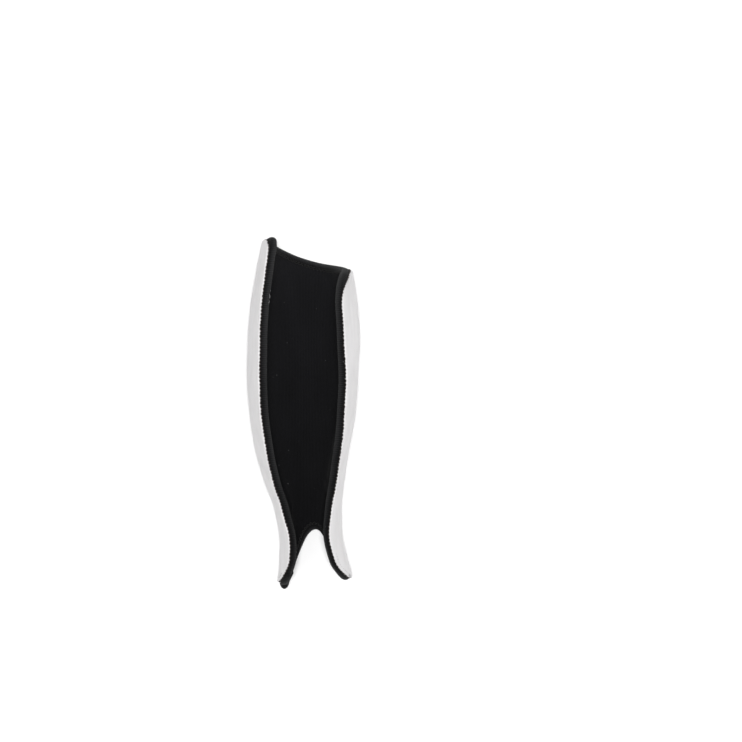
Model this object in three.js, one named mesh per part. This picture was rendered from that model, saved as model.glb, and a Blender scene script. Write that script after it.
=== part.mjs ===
// A shin guard with an open back: a hard outer shell, a padded liner, the tape that binds the liner's edge,
// and the tape's rolled end. It lies on its front: +Z comes out of the open back, +Y points to the knee.
// Millimetres and degrees.
import * as THREE from 'three';

const radians = THREE.MathUtils.degToRad;

const fitGap = 0.3; // clearance between neighbouring pieces

// The wall follows an oval that changes along the leg
const guardLength = 337; // from the ankle lobes' tips to the high knee corner
const calfWidth = 108; // across the shell where it is widest
const calfDepth = 103; // front to back of the whole calf oval, of which the wall leaves the back open
const frontBow = 6; // how far the shin's hollow stands off the floor between the two lowest places
const restFlat = 0.8; // how much of the round front is levelled where it rests
const shinLine = -2; // where the front's lowest line runs, beside the middle of the calf
const frontBluntness = 0.15; // above 0, how much flatter than an oval the front is

// Thicknesses, from the outside in
const shellThickness = 2.5;
const padThickness = 7.6; // the liner away from its edge
const edgePadThickness = 5.5; // the liner where the tape pinches it
const tapeThickness = 0.9;

// The edge
const tapeLeg = 7; // how far the tape reaches in from the guard's outline, on both faces
const noseLength = 3.5; // how much of that is round
const shellSetback = 2.2; // the shell's edge behind the tape's outline

// The outline
const kneeDrop = 34; // the low knee corner under the high one
const archRise = 52; // the ankle arch above the lobes' tips
const archSpread = 80; // degrees round the oval from the arch's top to each lobe's tip
const archFlatness = 1.1; // above 1, how much blunter than a wave the arch is
const archTurn = 12; // degrees that the arch is turned to the low side
const highCornerRadius = 3; // the corners' radii, at the tape's inner edge
const lowCornerRadius = 9;
const highLobeRadius = 4;
const lowLobeRadius = 8;

// The tape's end, folded over its own start and rolled up at the tip of the lobe on the high side
const endCoverLength = 26; // length of edge that it covers above the roll
const rollLength = 13; // the rolled stretch
const rollHeight = 4.8; // how far the roll stands out from the edge
const rollBluntness = 0.6; // below 1, how much blunter than a wave the roll is
const coverFrom = radians(-54); // where round the nose the end starts, clear of the shell

// Sections from the lobes' tips to the high corner. along: share of the length. side, width: the oval's
// centre and half width, shares of half the calf's width. depth: share of half its depth. lift: the front's
// height, share of the bow. high, low: degrees from the front to the edge on the high and the low side.
const sections = [
  { along: 0.0, side: 0.2, width: 0.69, depth: 0.58, lift: 0, high: 114, low: 114 },
  { along: 0.03, side: 0.2, width: 0.665, depth: 0.6, lift: 0, high: 123, low: 128 },
  { along: 0.07, side: 0.175, width: 0.62, depth: 0.62, lift: 0, high: 138, low: 141 },
  { along: 0.14, side: 0.125, width: 0.57, depth: 0.64, lift: 0, high: 141, low: 145 },
  { along: 0.22, side: 0.075, width: 0.61, depth: 0.67, lift: 0.15, high: 133, low: 136 },
  { along: 0.3, side: 0.01, width: 0.72, depth: 0.76, lift: 0.45, high: 133, low: 125 },
  { along: 0.4, side: -0.02, width: 0.85, depth: 0.89, lift: 0.85, high: 134, low: 123 },
  { along: 0.5, side: -0.01, width: 0.945, depth: 0.97, lift: 1, high: 132, low: 127 },
  { along: 0.6, side: -0.01, width: 0.99, depth: 1, lift: 0.7, high: 133, low: 128 },
  { along: 0.7, side: 0.01, width: 1, depth: 1, lift: 0.25, high: 132, low: 134 },
  { along: 0.8, side: 0.015, width: 0.96, depth: 0.98, lift: 0, high: 131, low: 135 },
  { along: 0.88, side: 0.02, width: 0.885, depth: 0.94, lift: 0, high: 130, low: 127 },
  { along: 0.94, side: 0.01, width: 0.81, depth: 0.9, lift: 0.2, high: 130, low: 119 },
  { along: 1.0, side: 0.01, width: 0.73, depth: 0.86, lift: 0.6, high: 131, low: 117 },
];

// The knee edge between its corners. across: share of the way from the high side to the low one. drop: share
// of the knee drop.
const kneeEdge = [
  { across: 0, drop: 0 },
  { across: 0.18, drop: 0.1 },
  { across: 0.36, drop: 0.29 },
  { across: 0.5, drop: 0.52 },
  { across: 0.62, drop: 0.69 },
  { across: 0.8, drop: 0.84 },
  { across: 1, drop: 1 },
];

// Divisions of the model
const columns = 31; // across the wall
const rows = 20; // along it
const noseSteps = 6; // round the tape's nose
const outlineSteps = 80; // samples of one side of the outline before its stations are spaced
const cornerSteps = 16; // samples of half a corner
const crowding = 0.6; // how much closer stations lie at a side's ends
const sideWaves = 1; // stations crowd at a side's ends
const ankleWaves = 2; // and at the middle of the ankle edge too
const nudge = 1; // to each side of a station, for the outline's direction there
const tipSteps = 40; // samples in the search for the lobe's lowest place
const coverSteps = 16; // along the folded end

// Reads a column of a table at a place in its first column, on a smooth curve that never overshoots its rows.
function readTable(table, place, column) {
  const [key] = Object.keys(table[0]);
  const last = table.length - 1;
  const at = Math.min(Math.max(place, table[0][key]), table[last][key]);
  let i = 0;
  while (i < last - 1 && at > table[i + 1][key]) i += 1;
  const slope = (k) => (table[k + 1][column] - table[k][column]) / (table[k + 1][key] - table[k][key]);
  const tangent = (k) => {
    if (k === 0 || k === last) return slope(Math.min(k, last - 1));
    const before = slope(k - 1);
    const after = slope(k);
    return before * after <= 0 ? 0 : (2 * before * after) / (before + after);
  };
  const span = table[i + 1][key] - table[i][key];
  const t = (at - table[i][key]) / span;
  const rise = table[i + 1][column] - table[i][column];
  const start = tangent(i) * span;
  const end = tangent(i + 1) * span;
  const bend = t * t * (3 * rise - 2 * start - end) + t ** 3 * (start + end - 2 * rise);
  return table[i][column] + t * start + bend;
}

// The oval at a distance y along the leg, counted from the middle of the length.
function ovalAt(y) {
  const along = y / guardLength + 0.5;
  return {
    centre: (readTable(sections, along, 'side') * calfWidth) / 2,
    halfWidth: (readTable(sections, along, 'width') * calfWidth) / 2,
    halfDepth: (readTable(sections, along, 'depth') * calfDepth) / 2,
    front: readTable(sections, along, 'lift') * frontBow,
    highEdge: -radians(readTable(sections, along, 'high')),
    lowEdge: radians(readTable(sections, along, 'low')),
  };
}

// A place on the wall is [turn, y]: radians round the oval from the front, and the distance along the leg.
// depthIn is how far it lies inside the shell's outer face. The front half of the oval leans to the shin line.
function wallPoint([turn, y], depthIn) {
  const oval = ovalAt(y);
  const frontness = Math.max(Math.cos(turn), 0) ** 2;
  const across = Math.sin(turn);
  const rise = 1 - Math.cos(turn) - frontBluntness * frontness * across ** 2;
  const x = oval.centre + (shinLine - oval.centre) * frontness + (oval.halfWidth - depthIn) * across;
  const z = oval.front + depthIn + (oval.halfDepth - depthIn) * rise;
  return new THREE.Vector3(x, y, depthIn > 0 ? z : Math.max(z - restFlat, 0));
}

// Millimetres of wall to one radian of turn.
function turnRadius([turn, y]) {
  const oval = ovalAt(y);
  const ahead = Math.max(Math.cos(turn), 0);
  const across = Math.sin(turn);
  const x = oval.halfWidth * Math.cos(turn) - 2 * (shinLine - oval.centre) * ahead * across;
  const z = oval.halfDepth * (across - 2 * frontBluntness * ahead * across * (ahead ** 2 - across ** 2));
  return Math.hypot(x, z);
}

// The turn at which an oval that doesn't lean to the shin line is as far across.
function uprightTurn(turn, y) {
  const oval = ovalAt(y);
  const ahead = Math.max(Math.cos(turn), 0);
  const lean = (shinLine - oval.centre) / oval.halfWidth;
  return ahead > 0 ? Math.asin(Math.sin(turn) + lean * ahead ** 2) : turn;
}

function distance(p, q) {
  const middle = [(p[0] + q[0]) / 2, (p[1] + q[1]) / 2];
  return Math.hypot(turnRadius(middle) * (q[0] - p[0]), q[1] - p[1]);
}

const mix = (p, q, t) => [p[0] + (q[0] - p[0]) * t, p[1] + (q[1] - p[1]) * t];

// The point of a path at a length from its start.
function walk(path, length) {
  let left = length;
  for (let i = 1; i < path.length; i += 1) {
    const step = distance(path[i - 1], path[i]);
    if (left <= step || i === path.length - 1) return mix(path[i - 1], path[i], Math.min(left / step, 1));
    left -= step;
  }
  return path[0];
}

const pathLength = (path) => path.slice(1).reduce((sum, p, i) => sum + distance(path[i], p), 0);

const sample = (steps, f) => Array.from({ length: steps + 1 }, (_, i) => f(i / steps));

// The four sides of the outline before their corners are rounded, each from the high side or the ankle on.
function sharpSides() {
  const ankleEnd = -guardLength / 2;
  const highEnd = guardLength / 2;
  const lowEnd = highEnd - kneeDrop;
  const high = sample(outlineSteps, (t) => {
    const y = ankleEnd + (highEnd - ankleEnd) * t;
    return [ovalAt(y).highEdge, y];
  });
  const low = sample(outlineSteps, (t) => {
    const y = ankleEnd + (lowEnd - ankleEnd) * t;
    return [ovalAt(y).lowEdge, y];
  });
  const knee = sample(outlineSteps, (t) => {
    const y = highEnd - kneeDrop * readTable(kneeEdge, t, 'drop');
    return [high.at(-1)[0] + (low.at(-1)[0] - high.at(-1)[0]) * t, y];
  });
  const ankle = sample(outlineSteps, (t) => {
    const turn = high[0][0] + (low[0][0] - high[0][0]) * t;
    const across = uprightTurn(turn, ankleEnd + archRise / 2) - radians(archTurn);
    const share = Math.min(Math.abs(across) / radians(archSpread), 1) ** archFlatness;
    return [turn, ankleEnd + (archRise * (1 + Math.cos(Math.PI * share))) / 2];
  });
  return { high, low, knee, ankle };
}

// Half of a rounded corner: a parabola cut in two at its middle, from there to the path's own line.
function halfCorner(corner, ownEnd, otherEnd) {
  return sample(cornerSteps, (t) => {
    const s = 0.5 + t / 2;
    return mix(mix(otherEnd, corner, s), mix(corner, ownEnd, s), s);
  });
}

// How far a corner cuts back its two sides, so that its radius is left inside the tape's leg.
const cutback = (radius) => Math.SQRT2 * (tapeLeg + radius);

function roundEnds(path, startCut, startOther, endCut, endOther) {
  const length = pathLength(path);
  const middle = sample(outlineSteps, (t) => walk(path, startCut + (length - startCut - endCut) * t));
  const start = halfCorner(path[0], middle[0], startOther);
  const end = halfCorner(path.at(-1), middle.at(-1), endOther).reverse();
  return [...start, ...middle.slice(1, -1), ...end];
}

// The share of a side's length at a share of its stations. They crowd at its ends, and with two waves at its
// middle too.
function crowded(t, waves) {
  const wave = 2 * Math.PI * waves;
  return t - (crowding * Math.sin(wave * t)) / wave;
}

// The four sides with their corners rounded, in one round: the high side from knee to ankle, the ankle edge,
// the low side up, and the knee edge back.
function roundedSides() {
  const { high, low, knee, ankle } = sharpSides();
  const back = (path, cut) => walk(path, pathLength(path) - cut);
  const highLobe = cutback(highLobeRadius);
  const lowLobe = cutback(lowLobeRadius);
  const highCorner = cutback(highCornerRadius);
  const lowCorner = cutback(lowCornerRadius);
  const highSide = roundEnds(high, highLobe, walk(ankle, highLobe), highCorner, walk(knee, highCorner));
  const lowSide = roundEnds(low, lowLobe, back(ankle, lowLobe), lowCorner, back(knee, lowCorner));
  const kneeSide = roundEnds(knee, highCorner, back(high, highCorner), lowCorner, back(low, lowCorner));
  const ankleSide = roundEnds(ankle, highLobe, walk(high, highLobe), lowLobe, walk(low, lowLobe));
  return [
    { path: highSide.reverse(), count: rows, waves: sideWaves },
    { path: ankleSide, count: columns, waves: ankleWaves },
    { path: lowSide, count: rows, waves: sideWaves },
    { path: kneeSide.reverse(), count: columns, waves: sideWaves },
  ];
}

const sides = roundedSides();
const track = [...sides.flatMap(({ path }) => path.slice(0, -1)), sides[0].path[0]];
const trackLength = pathLength(track);

// A stop on the outline: its place, and the step in turn and y to a millimetre further inside.
function stopAt(length) {
  const place = walk(track, length);
  const before = walk(track, (length - nudge + trackLength) % trackLength);
  const after = walk(track, (length + nudge) % trackLength);
  const radius = turnRadius(place);
  const tangent = [radius * (after[0] - before[0]), after[1] - before[1]];
  const size = Math.hypot(...tangent);
  return { place, inward: [-tangent[1] / size / radius, tangent[0] / size] };
}

function outlineLoop() {
  const stops = [];
  let start = 0;
  for (const { path, count, waves } of sides) {
    const length = pathLength(path);
    for (let k = 0; k < count; k += 1) stops.push(stopAt(start + length * crowded(k / count, waves)));
    start += length;
  }
  return stops;
}

const loop = outlineLoop();
const insetPlace = ({ place, inward }, inset) => [place[0] + inward[0] * inset, place[1] + inward[1] * inset];
const wallRow = (stop, { inset, depthIn }) => wallPoint(insetPlace(stop, inset), depthIn);
const ring = (row) => loop.map((stop) => wallRow(stop, row));

// The loop's station at a grid line's end: i counts across from the high side, j from the ankle.
function borderStation(i, j) {
  if (i === 0) return rows - j;
  if (j === 0) return rows + i;
  if (i === columns) return rows + columns + j;
  return (loop.length - i) % loop.length;
}

// The places inside the tape's leg, as a grid blended from its four sides.
function innerGrid() {
  const border = loop.map((stop) => insetPlace(stop, tapeLeg));
  const at = (i, j) => border[borderStation(i, j)];
  return (i, j) => {
    const t = crowded(j / rows, sideWaves);
    const s = (1 - t) * crowded(i / columns, ankleWaves) + t * crowded(i / columns, sideWaves);
    const across = mix(at(0, j), at(columns, j), s);
    const along = mix(at(i, 0), at(i, rows), t);
    const corners = mix(mix(at(0, 0), at(columns, 0), s), mix(at(0, rows), at(columns, rows), s), t);
    return [0, 1].map((k) => across[k] + along[k] - corners[k]);
  };
}

// Collects points and triangles, and gives the closed body with its faces turned out.
class Body {
  points = [];
  triangles = [];

  add(points) {
    const first = this.points.length;
    this.points.push(...points);
    return points.map((_, i) => first + i);
  }

  quad(a, b, c, d) {
    this.triangles.push([a, b, c], [a, c, d]);
  }

  // Joins rings of stations that follow each other round an edge. Every diagonal runs the same way between
  // two insets, so that the faces of pieces that lie on each other are parallel.
  bands(section, rings) {
    for (let k = 1; k < rings.length; k += 1) {
      const [from, to] = [rings[k - 1], rings[k]];
      const inward = section[k].inset > section[k - 1].inset;
      from.forEach((point, i) => {
        const next = (i + 1) % from.length;
        if (inward) this.quad(from[next], to[next], to[i], point);
        else this.quad(point, from[next], to[next], to[i]);
      });
    }
  }

  geometry() {
    const volume = this.triangles.reduce((sum, [a, b, c]) => {
      const [p, q, r] = [this.points[a], this.points[b], this.points[c]];
      return sum + p.dot(new THREE.Vector3().crossVectors(q, r));
    }, 0);
    const out = volume > 0 ? this.triangles : this.triangles.map(([a, b, c]) => [a, c, b]);
    const geometry = new THREE.BufferGeometry().setFromPoints(this.points);
    geometry.setIndex(out.flat());
    geometry.computeVertexNormals();
    return geometry;
  }
}

// A wall between two faces: rings from the outer face round the edge to the inner one, and a grid in each.
function wall(edge, outerDepth, innerDepth) {
  const body = new Body();
  const rings = edge.map((row) => body.add(ring(row)));
  body.bands(edge, rings);
  const grid = innerGrid();
  const face = (border, depthIn, flip) => {
    const inside = (i, j) => i > 0 && i < columns && j > 0 && j < rows;
    const index = Array.from({ length: columns + 1 }, (_, i) => Array.from({ length: rows + 1 }, (__, j) =>
      (inside(i, j) ? body.add([wallPoint(grid(i, j), depthIn)])[0] : border[borderStation(i, j)])));
    for (let i = 0; i < columns; i += 1) {
      for (let j = 0; j < rows; j += 1) {
        const [a, b, c, d] = [index[i][j], index[i + 1][j], index[i + 1][j + 1], index[i][j + 1]];
        body.quad(...(flip ? [a, d, c, b] : [a, b, c, d]));
      }
    }
  };
  face(rings[0], outerDepth, true);
  face(rings.at(-1), innerDepth, false);
  return body.geometry();
}

// Depths from the shell's outer face
const shellInside = shellThickness;
const tapeOutside = shellInside + fitGap;
const padOutside = tapeOutside + tapeThickness + fitGap;
const padInside = padOutside + edgePadThickness;
const tapeInside = padInside + fitGap + tapeThickness;
const edgeMiddle = (tapeOutside + tapeInside) / 2;
const edgeHalf = (tapeInside - tapeOutside) / 2;

// A row of the round nose, shrunk all round by a skin's thickness; 'out' makes it longer at its front.
function noseRow(angle, shrink, out = 0) {
  return {
    inset: noseLength - (noseLength - shrink + out) * Math.cos(angle),
    depthIn: edgeMiddle + (edgeHalf - shrink) * Math.sin(angle),
  };
}

function noseRows(shrink) {
  return sample(noseSteps, (t) => noseRow(Math.PI * (t - 0.5), shrink));
}

function channelRows(shrink) {
  const legEnd = (depthIn) => ({ inset: tapeLeg, depthIn });
  return [legEnd(tapeOutside + shrink), ...noseRows(shrink), legEnd(tapeInside - shrink)];
}

function outerShell() {
  const outer = [tapeLeg, noseLength, shellSetback].map((inset) => ({ inset, depthIn: 0 }));
  const inner = [shellSetback, noseLength, tapeLeg].map((inset) => ({ inset, depthIn: shellInside }));
  return wall([...outer, ...inner], 0, shellInside);
}

function paddedLiner() {
  return wall(channelRows(tapeThickness + fitGap), tapeOutside, tapeOutside + padThickness);
}

// The tape is a channel: its outer skin one way round the edge, and its inner skin back.
function edgeBinding() {
  const body = new Body();
  const section = [...channelRows(0), ...channelRows(tapeThickness).reverse()];
  const rings = section.map((row) => body.add(ring(row)));
  body.bands([...section, section[0]], [...rings, rings[0]]);
  return body.geometry();
}

// The folded end covers the tape's nose and its inner leg, and is rolled up round the lobe's tip.
function bindingEnd() {
  const [highSide, ankleSide] = sides.map(({ path }) => pathLength(path));
  const nearTip = sample(tipSteps, (t) => highSide + (t * ankleSide) / 4);
  const tip = nearTip.reduce((low, length) => (walk(track, length)[1] < walk(track, low)[1] ? length : low));
  const rollStart = tip - rollLength / 2;
  const start = rollStart - endCoverLength;
  const section = (shrink, out) => [
    ...sample(noseSteps, (t) => noseRow(coverFrom + (Math.PI / 2 - coverFrom) * t, shrink, out)),
    { inset: tapeLeg, depthIn: tapeInside - shrink },
  ];
  const body = new Body();
  const cuts = sample(coverSteps, (t) => {
    const length = start + (endCoverLength + rollLength) * t;
    const share = Math.max((length - rollStart) / rollLength, 0);
    const out = rollHeight * Math.max(Math.sin(Math.PI * share), 0) ** rollBluntness;
    const stop = stopAt(length);
    const rows = [...section(-fitGap - tapeThickness, out), ...section(-fitGap, 0).reverse()];
    return body.add(rows.map((row) => wallRow(stop, row)));
  });
  const last = cuts[0].length - 1;
  for (let k = 1; k < cuts.length; k += 1) {
    const [from, to] = [cuts[k - 1], cuts[k]];
    from.forEach((point, i) => {
      const next = i === last ? 0 : i + 1;
      body.quad(point, from[next], to[next], to[i]);
    });
  }
  const cap = (cut, flip) => {
    for (let i = 0; i < (last - 1) / 2; i += 1) {
      const [a, b, c, d] = [cut[i], cut[i + 1], cut[last - 1 - i], cut[last - i]];
      body.quad(...(flip ? [a, d, c, b] : [a, b, c, d]));
    }
  };
  cap(cuts[0], true);
  cap(cuts.at(-1), false);
  return body.geometry();
}

const pieces = [
  { name: 'outer_shell', geometry: outerShell(), colour: 0xdedddc, roughness: 0.42 },
  { name: 'padded_liner', geometry: paddedLiner(), colour: 0x1b1b1d, roughness: 0.9 },
  { name: 'edge_binding', geometry: edgeBinding(), colour: 0x2b2b2d, roughness: 0.8 },
  { name: 'binding_end', geometry: bindingEnd(), colour: 0x232325, roughness: 0.8 },
];

const guard = new THREE.Group();
for (const { name, geometry, colour, roughness } of pieces) {
  const material = new THREE.MeshStandardMaterial({ color: colour, roughness, metalness: 0 });
  const mesh = new THREE.Mesh(geometry, material);
  mesh.name = name;
  guard.add(mesh);
}

// The frame's origin is under the middle of the whole guard.
const middle = new THREE.Box3().setFromObject(guard).getCenter(new THREE.Vector3());
for (const mesh of guard.children) mesh.position.set(-middle.x, -middle.y, 0);

export default guard;
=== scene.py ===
"""The looks of the shin guard: its moulded shell, padded liner, binding tape, rolled tape end and threads."""

import math

import bpy
import numpy as np
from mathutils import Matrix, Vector


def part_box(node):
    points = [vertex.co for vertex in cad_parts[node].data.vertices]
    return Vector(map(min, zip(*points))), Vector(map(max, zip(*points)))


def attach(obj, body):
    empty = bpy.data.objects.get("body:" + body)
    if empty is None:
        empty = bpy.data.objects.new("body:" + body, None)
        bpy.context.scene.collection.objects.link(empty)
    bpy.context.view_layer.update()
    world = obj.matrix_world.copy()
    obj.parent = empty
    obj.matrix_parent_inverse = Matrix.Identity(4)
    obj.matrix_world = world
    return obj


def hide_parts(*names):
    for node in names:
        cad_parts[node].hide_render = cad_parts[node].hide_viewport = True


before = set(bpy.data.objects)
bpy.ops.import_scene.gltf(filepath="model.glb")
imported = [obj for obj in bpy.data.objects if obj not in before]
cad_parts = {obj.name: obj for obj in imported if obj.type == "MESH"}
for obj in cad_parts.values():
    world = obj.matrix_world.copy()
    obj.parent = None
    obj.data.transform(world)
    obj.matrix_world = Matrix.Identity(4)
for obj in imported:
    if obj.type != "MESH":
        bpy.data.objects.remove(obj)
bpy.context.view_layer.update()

MM = 0.001
TINY = 1e-9

# The wall's shape, in millimetres as in the part
GUARD_LENGTH = 337
CALF_WIDTH = 108
CALF_DEPTH = 103
FRONT_BOW = 6
REST_FLAT = 0.8
SHIN_LINE = -2
FRONT_BLUNTNESS = 0.15

# Thicknesses, from the outside in
FIT_GAP = 0.3
SHELL_THICKNESS = 2.5
PAD_THICKNESS = 7.6
EDGE_PAD_THICKNESS = 5.5
TAPE_THICKNESS = 0.9

# The edge
TAPE_LEG = 7
NOSE_LENGTH = 3.5
NOSE_BLEND = 0.6
PAD_NOSE_BLEND = 1
SHELL_SETBACK = 2.2
LIP_RADIUS = 0.8

# The outline
KNEE_DROP = 34
ARCH_RISE = 52
ARCH_SPREAD = 80
ARCH_FLATNESS = 1.1
ARCH_TURN = 12
HIGH_CORNER_RADIUS = 3
LOW_CORNER_RADIUS = 9
HIGH_LOBE_RADIUS = 4
LOW_LOBE_RADIUS = 8

# The tape's end
END_COVER_LENGTH = 26
ROLL_LENGTH = 13
ROLL_HEIGHT = 4.8
ROLL_BLUNTNESS = 0.6
COVER_FROM = math.radians(-54)
ROLL_LAYERS = 3
ROLL_CREASE = 0.25
END_CLOTH_PITCH = 0.7

# How much further the shell's edge is cut back at the knee's high and low corner, and over what reach
HIGH_CORNER_CUT = (4, 9)
LOW_CORNER_CUT = (4.5, 14)

# Sections from the lobes' tips to the high corner: how far along, then the oval's shift to the side, width,
# depth and front lift as shares of the sizes above, then the turns of its high and low edge in degrees
SECTIONS = [
    (0.0, 0.2, 0.69, 0.58, 0, 114, 114),
    (0.03, 0.2, 0.665, 0.6, 0, 123, 128),
    (0.07, 0.175, 0.62, 0.62, 0, 138, 141),
    (0.14, 0.125, 0.57, 0.64, 0, 141, 145),
    (0.22, 0.075, 0.61, 0.67, 0.15, 133, 136),
    (0.3, 0.01, 0.72, 0.76, 0.45, 133, 125),
    (0.4, -0.02, 0.85, 0.89, 0.85, 134, 123),
    (0.5, -0.01, 0.945, 0.97, 1, 132, 127),
    (0.6, -0.01, 0.99, 1, 0.7, 133, 128),
    (0.7, 0.01, 1, 1, 0.25, 132, 134),
    (0.8, 0.015, 0.96, 0.98, 0, 131, 135),
    (0.88, 0.02, 0.885, 0.94, 0, 130, 127),
    (0.94, 0.01, 0.81, 0.9, 0.2, 130, 119),
    (1.0, 0.01, 0.73, 0.86, 0.6, 131, 117),
]
KNEE_EDGE = [(0, 0), (0.18, 0.1), (0.36, 0.29), (0.5, 0.52), (0.62, 0.69), (0.8, 0.84), (1, 1)]

# Colours, each pair from dark to light
SHELL_COLOURS = (0.515, 0.507, 0.51), (0.662, 0.652, 0.656)
THREAD_COLOURS = {
    "black_thread": ((0.005, 0.005, 0.005), (0.014, 0.013, 0.013)),
    "brown_black_thread": ((0.012, 0.008, 0.007), (0.03, 0.022, 0.019)),
    "grey_thread": ((0.3, 0.3, 0.31), (0.45, 0.45, 0.45)),
}
LINT_COLOUR = (0.09, 0.09, 0.092)
FLOOR_COLOUR = (0.93, 0.93, 0.93)

# Cloth: its colours, the pitches of its ribs and threads in millimetres, then shares from 0 to 1, the last
# two of painted shade towards the ankle and of painted light round the tape's crest
KNIT_CLOTH = {
    "colours": ((0.002, 0.002, 0.0023), (0.0125, 0.0125, 0.0145)), "rib_pitch": 1.9, "thread_pitch": 1.1,
    "slub": 0.4, "bump": 0.9, "sheen": 0.03, "ankle_shading": 0.45, "crest": 0.0,
}
TAPE_CLOTH = {
    "colours": ((0.003, 0.003, 0.0033), (0.037, 0.037, 0.039)), "rib_pitch": 2.1, "thread_pitch": 0.6,
    "slub": 0.15, "bump": 1.0, "sheen": 0.05, "ankle_shading": 0.3, "crest": 0.5,
}

# Painted shade: the ankle end of the cloth is darker than the knee end, as the light falls off towards the
# ankle, in metres along the leg
ANKLE_SHADE_SPAN = (-0.15, 0.15)

# Painted light round the tape, in millimetres from its outer edge: painted shade at the first place, the
# crest's painted highlight palest at the second, and the same from its other side
CREST_NEAR = (5, 9.5)
CREST_FAR = (17, 13)

# Divisions of the smooth model
OUTLINE_STEPS = 400
CORNER_STEPS = 60
NOSE_STEPS = 14
LIP_STEPS = 4
LEG_STEPS = 4
PAD_LEG_STEPS = 2
THREAD_SIDES = 6
THREAD_CUTS = 6
SHELL_COLUMNS, SHELL_ROWS = 124, 130
LINER_COLUMNS, LINER_ROWS = 76, 96
LINER_SUBDIVISION = 1
TAPE_STATIONS = 900
TAPE_END_CUTS = 90
LINE_STEP = 0.5
TRACK_STEP = 0.5

# How close cells crowd at each wave's ends, and the waves along the ankle edge
CROWDING = 0.45
ARCH_WAVES = 2

# The outline's smoothing, and the reach over which its direction is read
TRACK_SOFTNESS = 3
NUDGE = 3

# The swelling of the pad: its cloth, the cells that the tape holds, frames, and millimetres at most
SWELL_CLOTH = {
    "quality": 5, "mass": 0.15, "tension_stiffness": 10, "compression_stiffness": 10, "shear_stiffness": 4,
    "bending_stiffness": 0.8, "shrink_min": -0.03, "use_pressure": True, "uniform_pressure_force": 4,
}
HELD_CELLS = 5
SWELL_FRAMES = 20
SWELL_CAP = 1.2

# The studio: floor and camera in millimetres, each light's place and width in metres and its power in watts
FLOOR_REACH = 6000
WORLD_STRENGTH = 0.42
LIGHTS = [
    ("overhead", (0.07, 0.05, 2.6), 0.6, 57),
    ("from_left", (-1.6, -0.4, 1.6), 1.2, 3),
    ("from_right", (1.7, 0.3, 1.6), 1.2, 7),
]
CAMERA_ACROSS = 65.2
CAMERA_ALONG = 39.1
CAMERA_HEIGHT = 1850
FOCAL_PIXELS = 1869.6
PICTURE_PIXELS = 742
SENSOR_WIDTH = 36


def table_column(rows, column):
    """Reads one column of a table on a smooth curve that never overshoots its rows."""
    places = np.array([row[0] for row in rows], float)
    values = np.array([row[column] for row in rows], float)
    spans = np.diff(places)
    slopes = np.diff(values) / spans
    before, after = slopes[:-1], slopes[1:]
    same_way = before * after > 0
    inner = np.where(same_way, 2 * before * after / np.where(same_way, before + after, 1), 0)
    tangents = np.concatenate([slopes[:1], inner, slopes[-1:]])

    def read(at):
        at = np.clip(at, places[0], places[-1])
        i = np.clip(np.searchsorted(places, at) - 1, 0, len(spans) - 1)
        t = (at - places[i]) / spans[i]
        rise = values[i + 1] - values[i]
        start, end = tangents[i] * spans[i], tangents[i + 1] * spans[i]
        return values[i] + t * start + t**2 * (3 * rise - 2 * start - end) + t**3 * (start + end - 2 * rise)

    return read


side, width, depth, lift, high_edge, low_edge = (table_column(SECTIONS, k) for k in range(1, 7))
knee_drop_share = table_column(KNEE_EDGE, 1)


def along_leg(y):
    return y / GUARD_LENGTH + 0.5


def oval_at(y):
    """The oval's centre, half width, half depth and front height at a distance along the leg."""
    along = along_leg(y)
    return (side(along) * CALF_WIDTH / 2, width(along) * CALF_WIDTH / 2, depth(along) * CALF_DEPTH / 2,
            lift(along) * FRONT_BOW)


def wall_point(turn, y, depth_in):
    """Points of the wall, depth_in millimetres inside the shell's outer face."""
    turn, y, depth_in = np.broadcast_arrays(turn, y, np.asarray(depth_in, float))
    centre, half_width, half_depth, front = oval_at(y)
    frontness = np.maximum(np.cos(turn), 0) ** 2
    across = np.sin(turn)
    rise = 1 - np.cos(turn) - FRONT_BLUNTNESS * frontness * across**2
    x = centre + (SHIN_LINE - centre) * frontness + (half_width - depth_in) * across
    z = front + depth_in + (half_depth - depth_in) * rise
    level = REST_FLAT * np.clip(1 - depth_in / SHELL_THICKNESS, 0, 1)
    return np.stack([x, y, np.maximum(z - level, 0)], axis=-1)


def turn_radius(turn, y):
    """Millimetres of wall to one radian of turn."""
    centre, half_width, half_depth, _ = oval_at(y)
    ahead, across = np.maximum(np.cos(turn), 0), np.sin(turn)
    x = half_width * np.cos(turn) - 2 * (SHIN_LINE - centre) * ahead * across
    z = half_depth * (across - 2 * FRONT_BLUNTNESS * ahead * across * (ahead**2 - across**2))
    return np.hypot(x, z)


def upright_turn(turn, y):
    """The turn at which an oval that doesn't lean to the shin line is as far across."""
    centre, half_width, _, _ = oval_at(y)
    ahead = np.maximum(np.cos(turn), 0)
    across = np.clip(np.sin(turn) + (SHIN_LINE - centre) / half_width * ahead**2, -1, 1)
    return np.where(ahead > 0, np.arcsin(across), turn)


def lengths_along(path):
    """Distances of a path's points from its start, measured on the wall."""
    middle = (path[1:] + path[:-1]) / 2
    step = path[1:] - path[:-1]
    steps = np.hypot(turn_radius(middle[:, 0], middle[:, 1]) * step[:, 0], step[:, 1])
    return np.concatenate([[0], np.cumsum(steps)])


def walk(path, length):
    """Points of a path at lengths from its start."""
    lengths = lengths_along(path)
    return np.stack([np.interp(length, lengths, path[:, k]) for k in range(2)], axis=-1)


def path_length(path):
    return lengths_along(path)[-1]


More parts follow.
